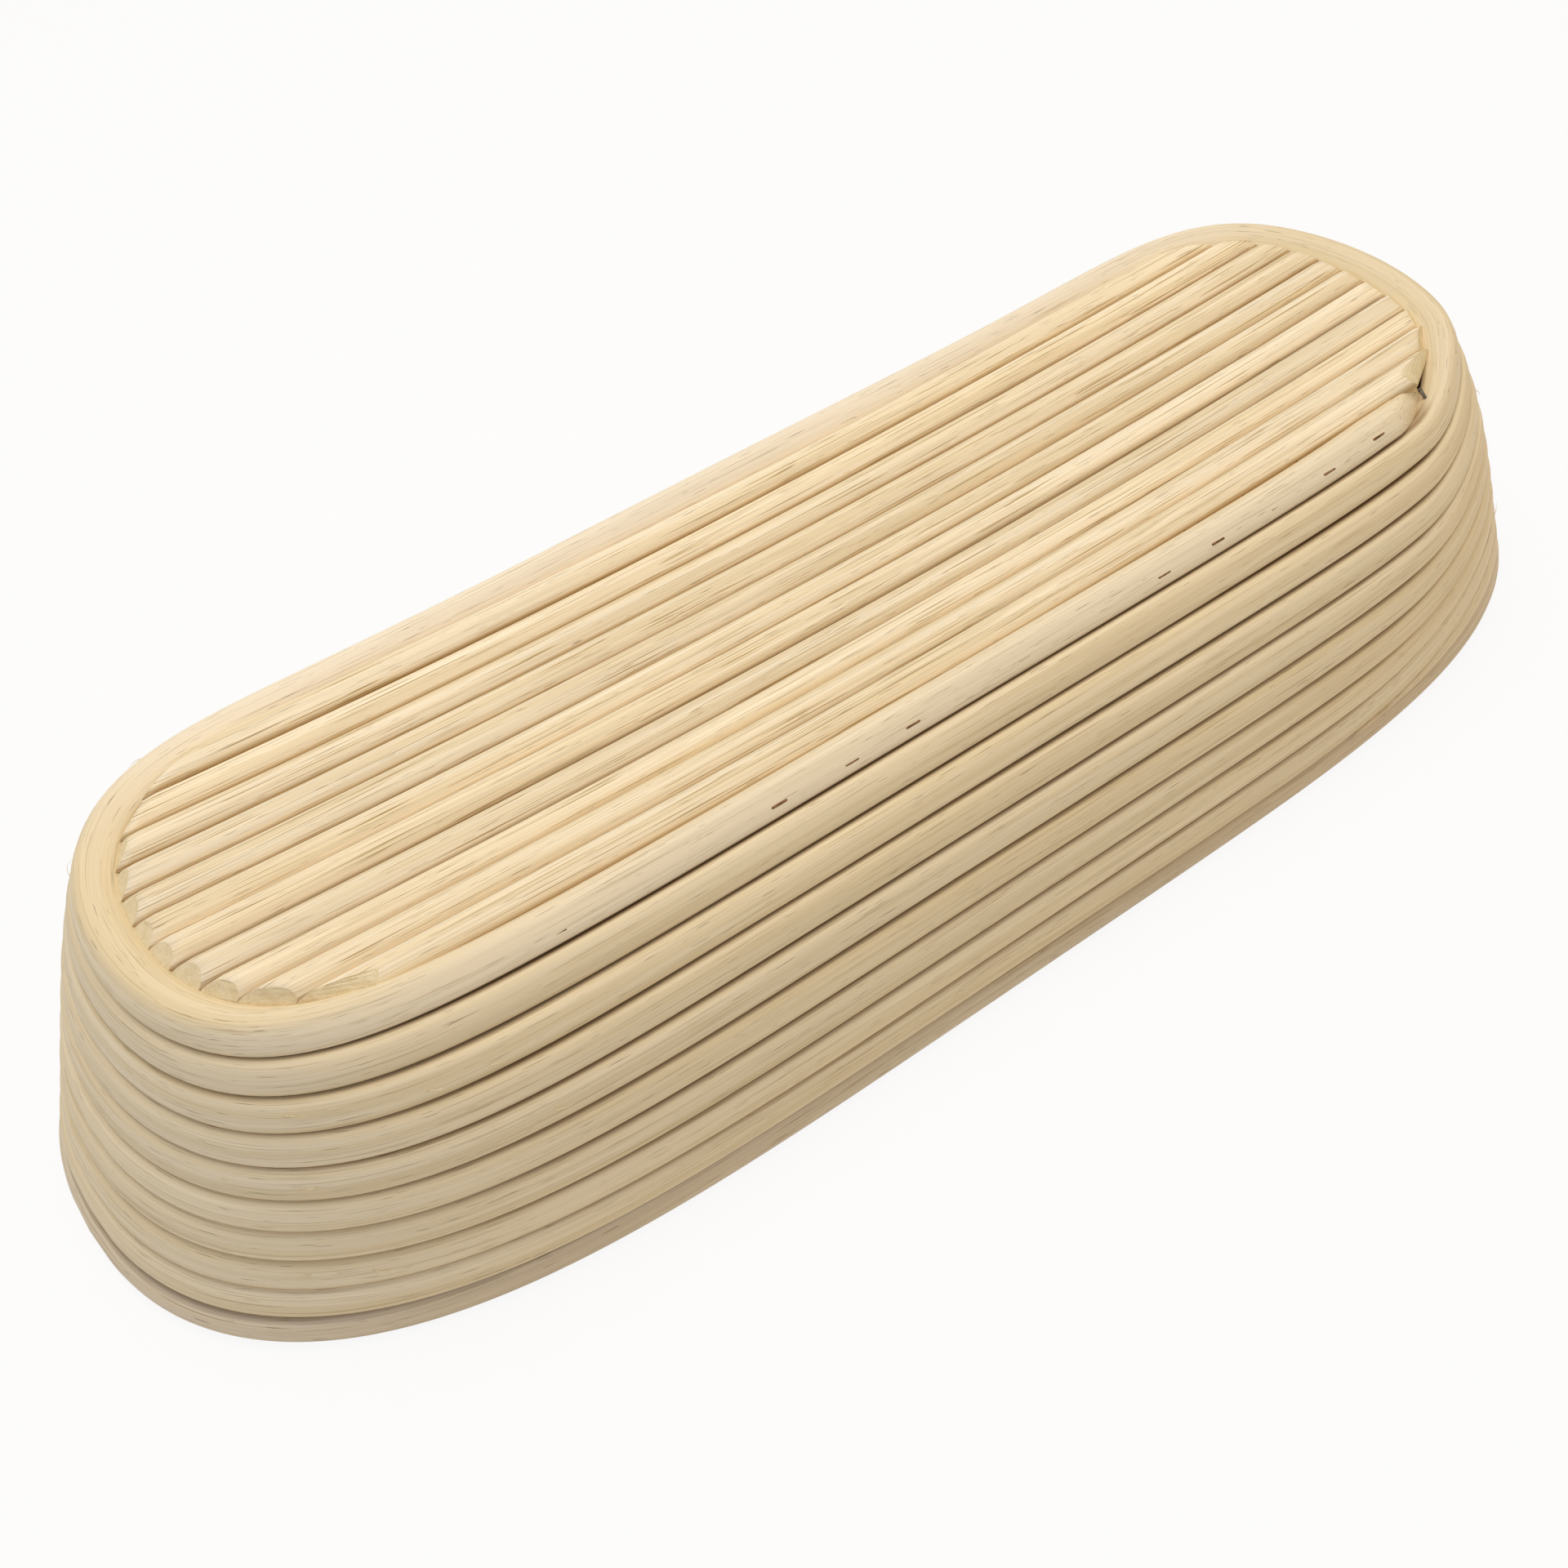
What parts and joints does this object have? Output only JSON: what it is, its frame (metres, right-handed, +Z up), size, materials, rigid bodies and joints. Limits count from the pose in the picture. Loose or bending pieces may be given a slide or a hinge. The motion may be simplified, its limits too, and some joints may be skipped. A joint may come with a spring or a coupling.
{
  "type": "proofing basket",
  "caption": "Long oblong proofing basket of peeled rattan cane, shown upside down: straight base rods, a wall wound from one cane in touching courses, and a closed rim hoop.",
  "frame": {"origin": "centre of the plane that the rim rests on, below the middle of the base", "axes": "+X along the basket's length, +Y across it, +Z up from the rim to the base: the basket is stored upside down on its rim, as pictured, so turn it over about X to fill it"},
  "size_m": [0.4256, 0.1574, 0.0788],
  "materials": {
    "cane": "peeled rattan, matt",
    "rim": "peeled rattan, matt",
    "wire": "dull steel wire"
  },
  "bodies": {
    "root": {"base_rod_1": "cane", "base_rod_2": "cane", "base_rod_3": "cane", "base_rod_4": "cane", "base_rod_5": "cane", "base_rod_6": "cane", "base_rod_7": "cane", "base_rod_8": "cane", "base_rod_9": "cane", "base_rod_10": "cane", "base_rod_11": "cane", "wall_winding": "cane", "rim_hoop": "rim", "near_side_staples": "wire", "far_side_staples": "wire", "left_end_staples": "wire", "right_end_staples": "wire", "rod_pins": "wire", "course_brads": "wire", "rim_brads": "wire"}
  },
  "joints": []
}
